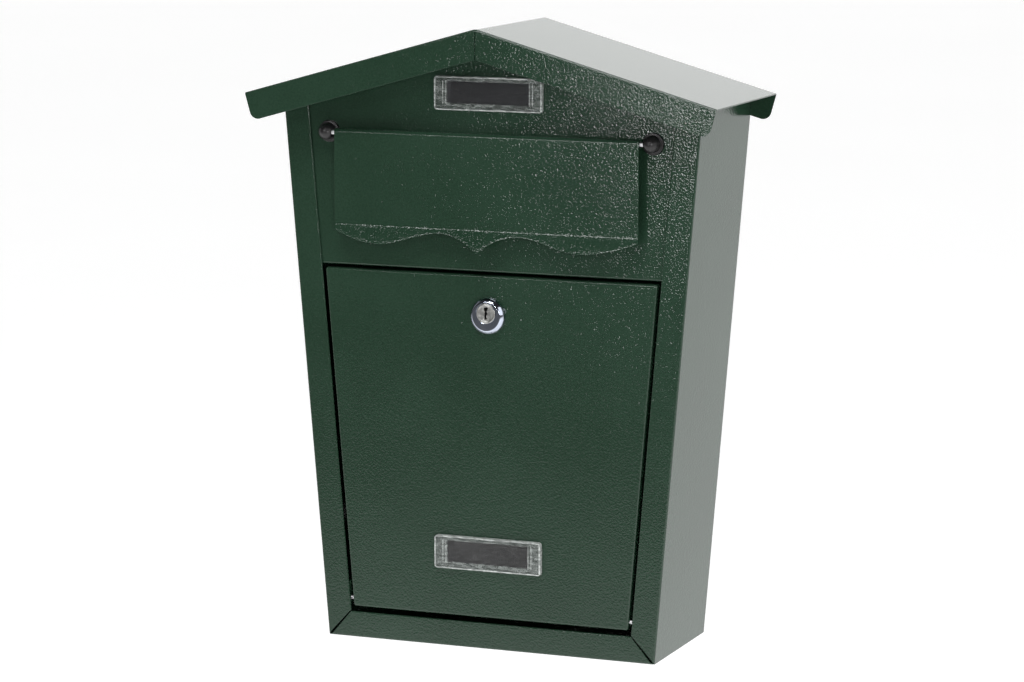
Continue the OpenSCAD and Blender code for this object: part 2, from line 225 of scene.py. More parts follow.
def closedPiece(parts, name, edge=0.0, sharp=38):
    piece = joined(parts, name)
    work = bmesh.new()
    work.from_mesh(piece.data)
    bmesh.ops.recalc_face_normals(work, faces=work.faces[:])
    work.to_mesh(piece.data)
    work.free()
    if edge:
        eased(piece, edge)
        settled(piece)
    return shaded(piece, sharp)


def standFor(piece, node, finish):  # the piece takes the node's place, body and finish
    piece.data.materials.clear()
    piece.data.materials.append(finish)
    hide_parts(node)
    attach(piece, frame["nodes"][node]["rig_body"])
    return piece


# shader helpers

class Wire:  # a socket that can be used in sums
    def __init__(self, finish, socket):
        self.finish = finish
        self.socket = socket

    def math(self, operation, first, second):
        return self.finish.node("ShaderNodeMath", {"operation": operation}, {0: first, 1: second})

    def __add__(self, other):
        return self.math("ADD", self, other)

    def __radd__(self, other):
        return self.math("ADD", other, self)

    def __sub__(self, other):
        return self.math("SUBTRACT", self, other)

    def __rsub__(self, other):
        return self.math("SUBTRACT", other, self)

    def __mul__(self, other):
        return self.math("MULTIPLY", self, other)

    def __rmul__(self, other):
        return self.math("MULTIPLY", other, self)

    def __pow__(self, other):
        return self.math("POWER", self, other)

    def smooth(self, low, high):  # 0 below low, 1 above high
        return self.finish.node("ShaderNodeMapRange", {"interpolation_type": "SMOOTHSTEP"},
                                {"Value": self, "From Min": low, "From Max": high})


class Finish:  # a material or a world, and the nodes that feed its shader
    def __init__(self, owner, shader="Principled BSDF"):
        self.owner = owner
        self.owner.use_nodes = True
        self.tree = self.owner.node_tree
        self.shader = self.tree.nodes[shader]

    def node(self, kind, settings=None, sockets=None, output=0):
        made = self.tree.nodes.new(kind)
        for key, value in (settings or {}).items():
            setattr(made, key, value)
        for key, value in (sockets or {}).items():
            if isinstance(value, Wire):
                self.tree.links.new(value.socket, made.inputs[key])
            else:
                made.inputs[key].default_value = value
        return Wire(self, made.outputs[output])

    def place(self):  # where a point is on the mailbox, in metres
        return self.node("ShaderNodeTexCoord", output="Object")

    def noise(self, place, scale, detail=2, roughness=0.5):
        return self.node("ShaderNodeTexNoise", None,
                         {"Vector": place, "Scale": scale, "Detail": detail, "Roughness": roughness})

    def blend(self, amount, first, second):  # colours
        return self.node("ShaderNodeMix", {"data_type": "RGBA"}, {0: amount, 6: first, 7: second}, 2)

    def bump(self, height, distance, strength=1.0, normal=None):
        sockets = {"Height": height, "Distance": distance, "Strength": strength}
        if normal:
            sockets["Normal"] = normal
        return self.node("ShaderNodeBump", None, sockets)

    def set(self, **values):  # plain values and links on the shader's own sockets
        for key, value in values.items():
            name = key.replace("_", " ")
            if isinstance(value, Wire):
                self.tree.links.new(value.socket, self.shader.inputs[name])
            else:
                self.shader.inputs[name].default_value = value
        return self.owner


def newFinish(name):
    return Finish(bpy.data.materials.new(name))


def rgb(red, green, blue):
    return (red, green, blue, 1)


def dimmed(colour, share):
    return (*(c * share for c in colour[:3]), 1)


# finishes

paint = {
    "light": rgb(0.020, 0.048, 0.029), "dark": rgb(0.014, 0.037, 0.021),
    "grain": 1000, "fineGrain": 2100, "relief": 0.00012, "fineRelief": 0.00002,
    "roughness": 0.08, "roughnessSwing": 0.04,
    "warp": 300.0, "warpReach": 0.0012, "clouds": 14.0,
}


def paintFinish():  # dark green powder coat with a leathery grain
    f = newFinish("green_powder_coat")
    place = f.place()
    drift = f.node("ShaderNodeTexNoise", None, {"Vector": place, "Scale": paint["warp"], "Detail": 1.0},
                   "Color")
    drift = f.node("ShaderNodeVectorMath", {"operation": "SCALE"}, {0: drift, "Scale": paint["warpReach"]})
    warped = f.node("ShaderNodeVectorMath", {"operation": "ADD"}, {0: place, 1: drift})
    cells = f.node("ShaderNodeTexVoronoi", {"feature": "SMOOTH_F1"},
                   {"Vector": warped, "Scale": paint["grain"], "Smoothness": 0.7})
    dimples = f.noise(place, paint["grain"] * 0.9, 2, 0.55)
    fine = f.noise(place, paint["fineGrain"], 2, 0.5)
    clouds = f.noise(place, paint["clouds"], 3, 0.5)
    height = cells * 0.55 + dimples * 0.6
    relief = f.bump(height, paint["relief"])
    relief = f.bump(fine, paint["fineRelief"], 0.6, relief)
    # The colour is darker where the clouds are low and in the grain's dimples. The darkening in the dimples
    # is painted shade, and the cloudy part is the coat's own mottle.
    dimpleShadeAndMottle = (clouds * 0.5 + dimples * 0.5).smooth(0.35, 0.65)
    rough = paint["roughness"] + (clouds - 0.5) * paint["roughnessSwing"] + (fine - 0.5) * 0.05
    return f.set(Base_Color=f.blend(dimpleShadeAndMottle, paint["dark"], paint["light"]), Roughness=rough, Normal=relief,
                 IOR=1.5)


chrome = {
    "dark": rgb(0.40, 0.44, 0.56), "light": rgb(0.60, 0.64, 0.72),
    "marks": 1800.0, "haze": 240.0, "roughness": 0.09, "relief": 0.00002,
}


def chromeFinish():  # satin plate with faint turning marks
    f = newFinish("lock_chrome_plate")
    place = f.place()
    marks = f.noise(place, chrome["marks"], 3, 0.6)
    haze = f.noise(place, chrome["haze"], 3, 0.5)
    return f.set(Base_Color=f.blend(haze, chrome["dark"], chrome["light"]), Metallic=1.0,
                 Roughness=chrome["roughness"] + (haze - 0.5) * 0.08 + (marks - 0.5) * 0.04,
                 Normal=f.bump(marks, chrome["relief"], 0.5))


castPlate = {
    "dark": rgb(0.30, 0.30, 0.29), "light": rgb(0.52, 0.52, 0.50),
    "grains": 2600.0, "haze": 500.0, "roughness": 0.34, "relief": 0.00004,
}


def plugFinish():  # cast and plated core face, grainier than the casing
    f = newFinish("plug_plate")
    place = f.place()
    grains = f.noise(place, castPlate["grains"], 3, 0.6)
    haze = f.noise(place, castPlate["haze"], 2, 0.5)
    return f.set(Base_Color=f.blend(haze.smooth(0.35, 0.65), castPlate["dark"], castPlate["light"]),
                 Metallic=1.0, Roughness=castPlate["roughness"] + (grains - 0.5) * 0.3,
                 Normal=f.bump(grains, castPlate["relief"], 0.8))


zinc = {
    "dark": rgb(0.52, 0.52, 0.53), "light": rgb(0.68, 0.68, 0.70),
    "spangle": 520.0, "scratches": 1600.0, "roughness": 0.30, "relief": 0.00002,
}


def zincFinish():  # plated steel with a spangle
    f = newFinish("zinc_plated_steel")
    place = f.place()
    spangle = f.node("ShaderNodeTexVoronoi", None, {"Vector": place, "Scale": zinc["spangle"]}, "Color")
    tone = f.node("ShaderNodeSeparateColor", None, {"Color": spangle})
    scratches = f.noise(place, zinc["scratches"], 4, 0.6)
    return f.set(Base_Color=f.blend(tone, zinc["dark"], zinc["light"]), Metallic=1.0,
                 Roughness=zinc["roughness"] + tone * 0.14 + (scratches - 0.5) * 0.12,
                 Normal=f.bump(scratches, zinc["relief"], 0.5))


brass = {
    "dark": rgb(0.55, 0.38, 0.14), "light": rgb(0.80, 0.60, 0.27),
    "scratches": 1800.0, "roughness": 0.26, "relief": 0.00002,
}


def brassFinish():
    f = newFinish("wafer_brass")
    scratches = f.noise(f.place(), brass["scratches"], 4, 0.6)
    return f.set(Base_Color=f.blend(scratches, brass["dark"], brass["light"]), Metallic=1.0,
                 Roughness=brass["roughness"] + scratches * 0.2,
                 Normal=f.bump(scratches, brass["relief"], 0.5))


moulding = {
    "dark": rgb(0.008, 0.007, 0.008), "light": rgb(0.018, 0.017, 0.018),
    "grain": 2200.0, "wear": 160.0, "roughness": 0.34, "relief": 0.00004,
}


def blackFinish():  # moulded plastic, spark-eroded texture
    f = newFinish("black_moulded_plastic")
    place = f.place()
    grain = f.noise(place, moulding["grain"], 3, 0.6)
    wear = f.noise(place, moulding["wear"], 3, 0.6)
    return f.set(Base_Color=f.blend(wear, moulding["dark"], moulding["light"]),
                 Roughness=moulding["roughness"] + (grain - 0.5) * 0.2,
                 Normal=f.bump(grain, moulding["relief"], 0.7))


clear = {
    "flow": 160.0, "fine": 700.0, "streaks": 900.0, "stretch": (0.25, 1, 1),
    "roughness": 0.08, "relief": 0.00012, "index": 1.52,
}


def clearFinish(name, cover, swing, tone):  # clear polystyrene: cover is how much it veils what lies behind
    f = newFinish(name)
    place = f.place()
    flow = f.noise(place, clear["flow"], 4, 0.6)
    fine = f.noise(place, clear["fine"], 3, 0.6)
    drawn = f.node("ShaderNodeVectorMath", {"operation": "MULTIPLY"}, {0: place, 1: clear["stretch"]})
    streaks = f.noise(drawn, clear["streaks"], 3, 0.6)
    veil = cover + (streaks.smooth(0.42, 0.62) - 0.5) * swing + (flow - 0.5) * swing
    return f.set(Base_Color=f.blend(streaks.smooth(0.4, 0.6), dimmed(tone, 0.6), tone),
                 Roughness=clear["roughness"] + fine * 0.12, Alpha=veil,
                 Normal=f.bump(flow + fine * 0.2, clear["relief"], 0.5), IOR=clear["index"])


card = {"fibres": 1300.0, "roughness": 0.6, "relief": 0.00003}


def cardFinish(name, colour):  # printed card under the window
    f = newFinish(name)
    place = f.place()
    fibres = f.noise(place, card["fibres"], 4, 0.6)
    return f.set(Base_Color=f.blend(fibres.smooth(0.3, 0.7), dimmed(colour, 0.75), colour),
                 Roughness=card["roughness"] + fibres * 0.2, Normal=f.bump(fibres, card["relief"], 0.6))


# Paper colours, with a painted shade colour and a painted glow.
paper = {
    "paintedShade": rgb(0.16, 0.16, 0.16), "pale": rgb(0.90, 0.90, 0.90), "paler": rgb(0.93, 0.93, 0.93),
    "dark": rgb(0.0, 0.0, 0.0), "paintedGlow": rgb(0.3, 0.3, 0.3),
    "paintedShadeFrom": -0.6, "paintedShadeTo": -2.2,  # along y
}


def floorFinish():  # pale paper with painted light: it glows near and behind the mailbox, and it is painted into shade well in front of it
    f = newFinish("studio_floor")
    place = f.place()
    depth = f.node("ShaderNodeSeparateXYZ", None, {0: place}, "Y")
    haze = f.noise(place, 1.5, 2, 0.5)
    # Mask for the painted light: 0 well in front, where the paper is painted into shade and gives no glow,
    # and 1 nearer in, where it is pale and glows.
    behind = depth.smooth(paper["paintedShadeTo"], paper["paintedShadeFrom"])
    pale = f.blend(haze, paper["pale"], paper["paler"])
    return f.set(Base_Color=f.blend(behind, paper["paintedShade"], pale), Roughness=0.9,
                 Emission_Color=f.blend(behind, paper["dark"], paper["paintedGlow"]), Emission_Strength=1.0)


greenPaint = paintFinish()
lockChrome = chromeFinish()
plugPlate = plugFinish()
zincPlate = zincFinish()
waferBrass = brassFinish()
blackPlastic = blackFinish()
clearPane = clearFinish("clear_window", 0.10, 0.04, rgb(0.30, 0.31, 0.31))
# The frame's grey-green veil is partly the plastic's own haze and partly painted reflection.
clearFrameHazeAndReflection = clearFinish("clear_frame_haze_and_painted_reflection", 0.34, 0.20, rgb(0.44, 0.48, 0.46))
# The pale, nearly opaque edge finish is a painted highlight on the rounded rims and the rib fronts.
clearRimHighlight = clearFinish("clear_edge_painted_highlight", 0.72, 0.24, rgb(0.74, 0.78, 0.76))
upperCard = cardFinish("upper_card", rgb(0.021, 0.021, 0.027))
lowerCard = cardFinish("lower_card", rgb(0.052, 0.050, 0.051))
print("mailbox: finishes made")


# what the sheets share

sheetMetal = {
    "thickness": 0.76,      # a hair under the sheet, so that hems can close
    "bend": 1.2,            # outer radius of a fold
    "strip": 15.6, "hem": 5.0,
    "fold": 0.8,            # outer radius of a hem's fold
    "mitreGap": 0.6,
    "nominal": 0.8, "lap": 0.85,
}

bottom = boxOf("bottom_pan")[0].z
front = boxOf("bottom_pan")[0].y
wallFoot = farthest("right_side", (0.01, 0, -1))
wallTop = farthest("right_side", (1, 0, 0))
taper = (wallTop.x - wallFoot.x) / (wallTop.z - wallFoot.z)
ridge = boxOf("roof")[1].z
eave = farthest("roof", (1, 0, 0))
roofTilt = math.atan2(ridge - eave.z, eave.x)
roofSlope = math.tan(roofTilt)
roofUnder = ridge - sheetMetal["nominal"] / math.cos(roofTilt)  # underside of the roof at the ridge


def halfWidth(z):  # outer half width of the body
    return wallFoot.x + taper * (z - bottom)


def underRoof(x):
    return roofUnder - abs(x) * roofSlope


def meetRoof(inset):  # height at which a line that follows the wall, set in by inset, meets the roof
    start = wallFoot.x - inset
    return bottom + (roofUnder - bottom - start * roofSlope) / (1 + taper * roofSlope)


# roof

roofShape = {
    "fascia": 16.8, "corner": 5.0, "seam": 0.5, "ridgeRound": 1.8,
    "nearRidge": (0.0, 0.3, 0.6, 0.9, 1.3, 1.8), "columns": 8,  # close columns where the ridge is rounded
}


def makeRoof():
    low, high = boxOf("roof")
    run = math.hypot(eave.x, ridge - eave.z)
    bend, deep, corner = sheetMetal["bend"], roofShape["fascia"], roofShape["corner"]
    blunt = roofShape["ridgeRound"]
    slit = bend + 0.4  # the seam opens just below the bend
    flank = [(0.0, deep - corner + v) for u, v in arc((0, 0), corner, 90, 0, 6)] + [(0.0, slit)]
    flank += [(bend - bend * math.cos(t), bend - bend * math.sin(t)) for t in radians(0, 90, 15)]
    section = [(low.y + u, d) for u, d in flank] + [(high.y - u, d) for u, d in reversed(flank)]
    starts, columns = roofShape["nearRidge"], roofShape["columns"]
    rows = []
    for step in range(len(starts) + columns):
        row = []
        for y, d in section:
            gap = roofShape["seam"] / 2 if d >= slit else 0.0
            first = (gap + d * math.sin(roofTilt)) / math.cos(roofTilt)
            rise = d - (deep - corner)
            last = run - corner + math.sqrt(max(0.0, corner ** 2 - rise ** 2)) if rise > 0 else run
            if step < len(starts):
                s = first + starts[step]
            else:
                s = first + starts[-1] + (last - first - starts[-1]) * (step - len(starts) + 1) / columns
            x = s * math.cos(roofTilt) - d * math.sin(roofTilt)
            z = ridge - s * math.sin(roofTilt) - d * math.cos(roofTilt)
            if x < blunt:
                z -= roofSlope * ((x * x + blunt * blunt) / (2 * blunt) - x)
            row.append((x, y, z))
        rows.append(row)
    half = facingAwayFrom(gridOf(rows), (60, (low.y + high.y) / 2, low.z - 20))
    piece = foldedSheet([half, mirrored(half)], "roof_sheet", sheetMetal["thickness"])
    standFor(piece, "roof", greenPaint)


makeRoof()
print("mailbox: roof made")


# side walls

sideShape = {"mitre": 0.88, "innerStrip": 4.0, "rows": 8}


def makeSide(node, name, side):
    bend, strip, fold, hem = (sheetMetal[k] for k in ("bend", "strip", "fold", "hem"))
    mitreGap, count = sheetMetal["mitreGap"], sideShape["rows"]
    rear = boxOf(node)[1].y
    rearLow = ridge - roofShape["fascia"] / math.cos(roofTilt) - roofSlope * wallTop.x - 1
    # hem, fold, strip, bend, wall: how far in from the wall, how deep, and the lower end
    section = [(strip - hem, front + 2 * fold, "hem"), (strip - fold - 1, front + 2 * fold, "hem")]
    section += [(strip - fold + fold * math.sin(t), front + fold + fold * math.cos(t), "strip")
                for t in radians(0, 180, 20)]
    section += [(sideShape["innerStrip"], front, "strip")]
    section += [(bend - bend * math.sin(t), front + bend - bend * math.cos(t), "strip")
                for t in radians(0, 90, 15)]
    section += [(0.0, front / 2, "wall"), (0.0, rear - sheetMetal["lap"], "wall"), (0.0, rear - 0.02, "rear")]
    rows = []
    for step in range(count + 1):
        row = []
        for inset, y, part in section:
            if part == "hem":
                low = strip + mitreGap + (strip - inset) * sideShape["mitre"]
            elif part == "strip":
                low = inset + mitreGap * min(1.0, max(0.0, (front + bend - y) / bend))
            else:
                low = 0.0
            low += bottom
            high = rearLow if part == "rear" else meetRoof(inset) - 0.05
            z = low + (high - low) * step / count
            row.append((halfWidth(z) - inset, y, z))
        rows.append(row)
    part = facingAwayFrom(gridOf(rows), (wallFoot.x - 60, front / 2, 0))
    if side < 0:
        part = mirrored(part)
    piece = foldedSheet([part], name, sheetMetal["thickness"])
    standFor(piece, node, greenPaint)


makeSide("right_side", "right_side_sheet", 1)
makeSide("left_side", "left_side_sheet", -1)
print("mailbox: side walls made")


# floor with the bottom strip

floorPan = {
    "flange": 10.0, "flangeFront": 10.0, "flangeRear": 11.0,
    "cornerIn": 1.4, "flare": 0.55,  # the strip's foot stops short of the corner, the bend widens to the wall
}


def makeBottom():
    bend, strip, fold, hem, lap = (sheetMetal[k] for k in ("bend", "strip", "fold", "hem", "lap"))
    rear = boxOf("bottom_pan")[1].y
    top = strip - sheetMetal["mitreGap"] / 2
    innerHalf = halfWidth(bottom + strip) - strip
    outerHalf = wallFoot.x - floorPan["cornerIn"]

    def stripHalf(z):
        return outerHalf + (innerHalf - outerHalf) * z / top

    # depth, height above the bottom, half width
    section = [(front + 2 * fold, top - hem, innerHalf - hem),
               (front + 2 * fold, top - fold - 0.4, innerHalf - 0.6)]
    for t in radians(0, 180, 20):
        z = top - fold + fold * math.sin(t)
        section.append((front + fold + fold * math.cos(t), z, stripHalf(z)))
    section.append((front, top / 2, stripHalf(top / 2)))
    for t in radians(0, 90, 15):
        z = bend - bend * math.sin(t)
        flare = floorPan["flare"] * t / (math.pi / 2)
        section.append((front + bend - bend * math.cos(t), z, stripHalf(z) + flare))
    section += [(front / 2, 0.0, wallFoot.x - lap), (rear - 0.02, 0.0, wallFoot.x - lap)]
    rows = [[(half * u, y, bottom + z) for y, z, half in section] for u in spread(-1, 1, 8)]
    parts = [facingAwayFrom(gridOf(rows), (0, front / 2, bottom + 60))]
    for side in (-1, 1):  # flanges spot welded to the side walls
        heights = (0.5, floorPan["flange"] / 2, floorPan["flange"])
        lip = [[(side * (halfWidth(bottom + z) - lap), y, bottom + z) for z in heights]
               for y in (front + floorPan["flangeFront"], front / 2, rear - floorPan["flangeRear"])]
        parts.append(facingAwayFrom(gridOf(lip), (0, front / 2, bottom + 6)))
    piece = foldedSheet(parts, "bottom_sheet", sheetMetal["thickness"])
    standFor(piece, "bottom_pan", greenPaint)


makeBottom()
print("mailbox: floor made")


# upper front with the letter slot

frontShape = {"slotHalf": 84.0, "slotFoot": 33.0, "slotHeight": 32.0, "topFlange": 10.0, "sideGap": 1.0,
              "roofGap": 0.06}


def makeFront():
    bend = sheetMetal["bend"]
    low, high = boxOf("front_panel")
    face = low.y
    slotFoot = low.z + frontShape["slotFoot"]
    slotHead = slotFoot + frontShape["slotHeight"]
    gap = frontShape["sideGap"]
    # depth, height from the lower edge or from the roof
    section = [(high.y, low.z, "low"), (face + bend, low.z, "low")]
    section += [(face + bend - bend * math.sin(t), low.z + bend - bend * math.cos(t), "low")
                for t in radians(15, 90, 15)]
    section += [(face, slotFoot, "low"), (face, slotHead, "low"), (face, slotHead + 4, "low")]
    section += [(face + bend - bend * math.cos(t), -bend + bend * math.sin(t), "roof")
                for t in radians(0, 90, 15)]
    section += [(face + frontShape["topFlange"], 0.0, "roof")]
    across = [-1, -frontShape["slotHalf"], 0, frontShape["slotHalf"], 1]
    rows = []
    for y, z, anchor in section:
        row = []
        for place in across:
            edge = abs(place) == 1
            if anchor == "low":
                x = place * (halfWidth(z) - gap) if edge else place
                row.append((x, y, z))
            else:
                x = place * (halfWidth(meetRoof(gap)) - gap) if edge else place
                row.append((x, y, underRoof(x) - frontShape["roofGap"] + z))
        rows.append(row)
    slotRow = next(i for i, s in enumerate(section) if s[1] == slotFoot)
    part = gridOf(rows, lambda r, c: r == slotRow and 1 <= c <= 2)
    piece = foldedSheet([facingAwayFrom(part, (0, face + 60, 100))], "front_sheet", sheetMetal["thickness"])
    standFor(piece, "front_panel", greenPaint)


makeFront()
print("mailbox: upper front made")


# door

doorShape = {"corner": 1.4, "lockHole": 8.2}


def roundedLoop(corners, radius, steps, y):  # corners as [x, z], each rounded
    loop = []
    count = len(corners)
    for i, corner in enumerate(corners):
        here = Vector(corner)
        before = (Vector(corners[i - 1]) - here).normalized()
        after = (Vector(corners[(i + 1) % count]) - here).normalized()
        half = before.angle(after) / 2
        reach = radius / math.tan(half)
        centre = here + (before + after).normalized() * (radius / math.sin(half))
        start = here + before * reach - centre
        end = here + after * reach - centre
        turn = start.angle(end)
        for part in spread(0, 1, steps):
            way = (start * math.sin(turn * (1 - part)) + end * math.sin(turn * part)) / math.sin(turn)
            loop.append((centre.x + way.x, y, centre.y + way.y))
    return loop


def makeDoor():
    bend = sheetMetal["bend"]
    low, high = boxOf("door")
    foot = farthest("door", (0.01, 0, -1))
    head = farthest("door", (1, 0, 0))
    lean = (head.x - foot.x) / (head.z - foot.z)
    lockLow, lockHigh = boxOf("lock_housing")

    def loopAt(inset, y):
        lowZ, highZ = low.z + inset, high.z - inset
        lowX, highX = foot.x + lean * inset - inset, head.x - lean * inset - inset
        corners = [(-lowX, lowZ), (lowX, lowZ), (highX, highZ), (-highX, highZ)]
        return roundedLoop(corners, max(0.2, doorShape["corner"] - inset), 5, y)

    loops = [loopAt(0, high.y), loopAt(0, low.y + bend)]
    for t in radians(15, 90, 15):
        loops.append(loopAt(bend - bend * math.cos(t), low.y + bend - bend * math.sin(t)))
    lockZ = (lockLow.z + lockHigh.z) / 2
    hole = [(u, low.y, v) for u, v in arc((0, lockZ), doorShape["lockHole"], 0, 360, 40)[:-1]]
    inside = (0, low.y + 60, 0)
    parts = [facingAwayFrom(ringsOf(loops), inside), facingAwayFrom(filled(loops[-1], [hole]), inside)]
    piece = foldedSheet(parts, "door_tray", sheetMetal["thickness"])
    standFor(piece, "door", greenPaint)


makeDoor()
print("mailbox: door made")


# letter flap

flapShape = {
    "curl": 2.38, "crease": 52.3, "creaseRound": 0.9, "lean": 20.0, "turns": 4, "columns": 186, "edge": 0.26,
    "endDepth": 3.2, "lobeDepth": 11.0, "crestDepth": 3.2, "pointDepth": 14.0,
    "lobeAt": 61.5, "crestAt": 24.0, "pointAt": -3.5,
}


def lipDepth(x, half):  # two lobes, two crests and a point between them
    s = flapShape
    away = abs(x - s["pointAt"])
    if away < s["crestAt"]:
        return s["crestDepth"] + (s["pointDepth"] - s["crestDepth"]) * (1 - away / s["crestAt"]) ** 2
    if away < s["lobeAt"]:
        part = (away - s["crestAt"]) / (s["lobeAt"] - s["crestAt"])
        return s["crestDepth"] + (s["lobeDepth"] - s["crestDepth"]) * (1 - math.cos(math.pi * part)) / 2
    end = half - s["pointAt"] * (1 if x > s["pointAt"] else -1)
    part = (away - s["lobeAt"]) / (end - s["lobeAt"])
    return s["lobeDepth"] - (s["lobeDepth"] - s["endDepth"]) * part ** 2


def makeFlap():
    low, high = boxOf("letter_flap")
    rodLow, rodHigh = boxOf("flap_rod")
    rodY, rodZ = (rodLow.y + rodHigh.y) / 2, (rodLow.z + rodHigh.z) / 2
    crease = rodZ - flapShape["crease"]
    radius = flapShape["curl"]
    face = rodY - radius
    # the curl: from below the rod, behind it and over it, then down to the face
    section = [(rodY - radius * math.cos(math.radians(a)), rodZ + radius * math.sin(math.radians(a)))
               for a in range(300, -1, -10)]
    section += [(face, z) for z in spread(rodZ - 1, crease + flapShape["creaseRound"], 4)]
    lean = math.radians(flapShape["lean"])
    soft = flapShape["creaseRound"]
    turns = flapShape["turns"]
    y, z, step = face, crease + soft, 2 * soft / turns
    for i in range(turns):  # the crease, turning a little at a time
        angle = lean * (i + 0.5) / turns
        y -= step * math.sin(angle)
        z -= step * math.cos(angle)
        section.append((y, z))
    xs = spread(low.x, high.x, flapShape["columns"])
    rows = [[(x, y, z) for x in xs] for y, z in section]
    y, z = section[-1]
    for part in (0.25, 0.5, 0.75, 1.0):
        rows.append([(x, y - math.sin(lean) * part * (lipDepth(x, high.x) - soft),
                      z - math.cos(lean) * part * (lipDepth(x, high.x) - soft)) for x in xs])
    sheet = facingAwayFrom(gridOf(rows), (0, rodY + 60, crease))
    piece = foldedSheet([sheet], "flap_sheet", sheetMetal["thickness"], flapShape["edge"])
    standFor(piece, "letter_flap", greenPaint)


makeFlap()
print("mailbox: flap made")


# round pieces

def ring(radius, y, x, z, steps=48, flats=None):
    loop = []
    for i in range(steps):
        t = 2 * math.pi * i / steps
        across = radius * math.cos(t)
        if flats:
            across = max(-flats, min(flats, across))
        loop.append((x + across, y, z + radius * math.sin(t)))
    return loop


bracketShape = {
    "base": 6.25, "boss": 4.75, "baseThick": 2.0, "tip": 0.4,
    "peg": 2.0, "pegLength": 4.6, "barb": 0.5, "sheet": 1.2,
}


def makeBracket(node, name):
    low, high = boxOf(node)
    x, z = (low.x + high.x) / 2, (low.z + high.z) / 2
    panel = boxOf("front_panel")[0].y
    s = bracketShape
    boss, base, peg = s["boss"], s["base"], s["peg"]
    seat = panel - s["baseThick"]
    # radius and depth: the dome, the foot ring and the barbed peg
    profile = [(boss * math.sin(t), low.y + boss - boss * math.cos(t)) for t in radians(6, 90, 7)]
    profile[0] = (s["tip"], low.y)
    profile += [(boss, seat - 0.5), (boss + 0.15, seat - 0.15), (boss + 0.5, seat)]
    profile += [(base - 0.4, seat), (base - 0.1, seat + 0.12), (base, seat + 0.4)]
    profile += [(base, panel - 0.02), (peg, panel - 0.02), (peg, panel + s["sheet"])]
    profile += [(peg + s["barb"], panel + s["sheet"] + 0.1), (peg - s["barb"], panel + s["pegLength"])]
    loops = [ring(r, y, x, z) for r, y in profile]
    piece = closedPiece([ringsOf(loops, True, True)], name)
    standFor(piece, node, blackPlastic)


makeBracket("left_rod_bracket", "left_bracket_dome")
makeBracket("right_rod_bracket", "right_bracket_dome")
print("mailbox: rod brackets made")


# name plates

plateShape = {
    "corner": 2.0, "rimBevel": 0.9, "windowHalf": 24.75, "windowHalfHeight": 6.15, "windowUp": 0.6,
    "paneSink": 0.75, "faceSink": 0.4, "proud": 3.0, "pocketEdge": 1.0, "wall": 1.2,
    "ribs": ((0.75, 0.16), (2.6, 0.2)),  # how far out from the window, half width
    "peg": 1.2, "pegIn": 3.6, "pegLength": 3.0, "barb": 0.5,
}
squareCorners = ((-1, -1), (1, -1), (1, 1), (-1, 1))


def boxLoop(half, halfHeight, radius, y, z, steps=6):
    return roundedLoop([(u * half, z + v * halfHeight) for u, v in squareCorners], radius, steps, y)


def makePlate(node, name):
    low, high = boxOf(node)
    s = plateShape
    middle = (low.z + high.z) / 2
    back = low.y + s["proud"]  # its back lies on the sheet
    half, halfHeight = high.x, (high.z - low.z) / 2
    window, windowHeight, up = s["windowHalf"], s["windowHalfHeight"], middle + s["windowUp"]
    pocket, corner, bevel = s["pocketEdge"], s["corner"], s["rimBevel"]
    loops = [
        boxLoop(window + pocket, windowHeight + pocket, 0.3, low.y + s["wall"], up),
        boxLoop(window + pocket, windowHeight + pocket, 0.3, back, up),
        boxLoop(half, halfHeight, corner, back, middle),
        boxLoop(half, halfHeight, corner, low.y + bevel, middle),
        boxLoop(half - 0.15, halfHeight - 0.15, corner - 0.15, low.y + bevel * 0.4, middle),
        boxLoop(half - 0.45, halfHeight - 0.45, corner - 0.45, low.y + 0.06, middle),
        boxLoop(half - 0.7, halfHeight - 0.7, corner - 0.7, low.y, middle),
        boxLoop(half - 1.0, halfHeight - 0.95, corner - 0.95, low.y + 0.1, middle),
        boxLoop(half - 1.3, halfHeight - 1.15, corner - 1.2, low.y + s["faceSink"], middle),
        boxLoop(window + 0.3, windowHeight + 0.3, 0.7, low.y + s["faceSink"], up),
        boxLoop(window, windowHeight, 0.5, low.y + s["paneSink"], up),
    ]
    parts = [ringsOf(loops, True, True)]
    for side in (-1, 1):
        x = side * (half - s["pegIn"])
        pegs = [(s["peg"], back - 0.6), (s["peg"], back + 1.1), (s["peg"] + s["barb"], back + 1.2)]
        pegs += [(s["peg"] - s["barb"], back + s["pegLength"])]
        parts.append(ringsOf([ring(r, y, x, middle, 24) for r, y in pegs], True, True))
        for out, wide in s["ribs"]:  # upright ribs beside the window
            x, tall = side * (window + out), windowHeight + 0.6
            rib = [[(x + u * wide, y, up + v * tall) for u, v in squareCorners]
                   for y in (low.y + 0.05, back - 1.0)]
            parts.append(ringsOf(rib, True, True))
    piece = closedPiece(parts, name, sharp=28)
    standFor(piece, node, clearPane)
    piece.data.materials.append(clearFrameHazeAndReflection)
    piece.data.materials.append(clearRimHighlight)
    # The rounded rim and the rib fronts take the pale edge finish as a painted highlight. The rest of the
    # moulding takes the frame finish, which is partly painted reflection, and the window takes the pane.
    for face in piece.data.polygons:
        across, down, rise = face.center / mm
        inWindow = abs(across) < window - 0.1 and abs(rise - up) < windowHeight - 0.1
        onRim = abs(across) > half - 1.1 or abs(rise - middle) > halfHeight - 0.9
        onRib = any(abs(abs(across) - window - out) < wide + 0.02 for out, wide in s["ribs"])
        face.material_index = 0 if inWindow else 2 if onRim or (onRib and down < low.y + 0.3) else 1


makePlate("upper_plate_cover", "upper_plate_moulding")
makePlate("lower_plate_cover", "lower_plate_moulding")
print("mailbox: name plates made")


# lock

lockShape = {
    "face": 8.5, "barrel": 8.0, "flats": 7.0, "thread": 0.45, "pitch": 1.0,
    "plugHead": 5.75, "plug": 5.0, "tail": 3.0, "play": 0.05, "keyDeep": 9.0,
    # the casing's flank: out from the face, back from the face
    "flank": ((0.25, 0.2), (0.9, 0.8), (1.55, 1.5), (1.8, 1.9), (1.95, 2.4), (2.0, 3.0), (2.0, 3.98)),
}


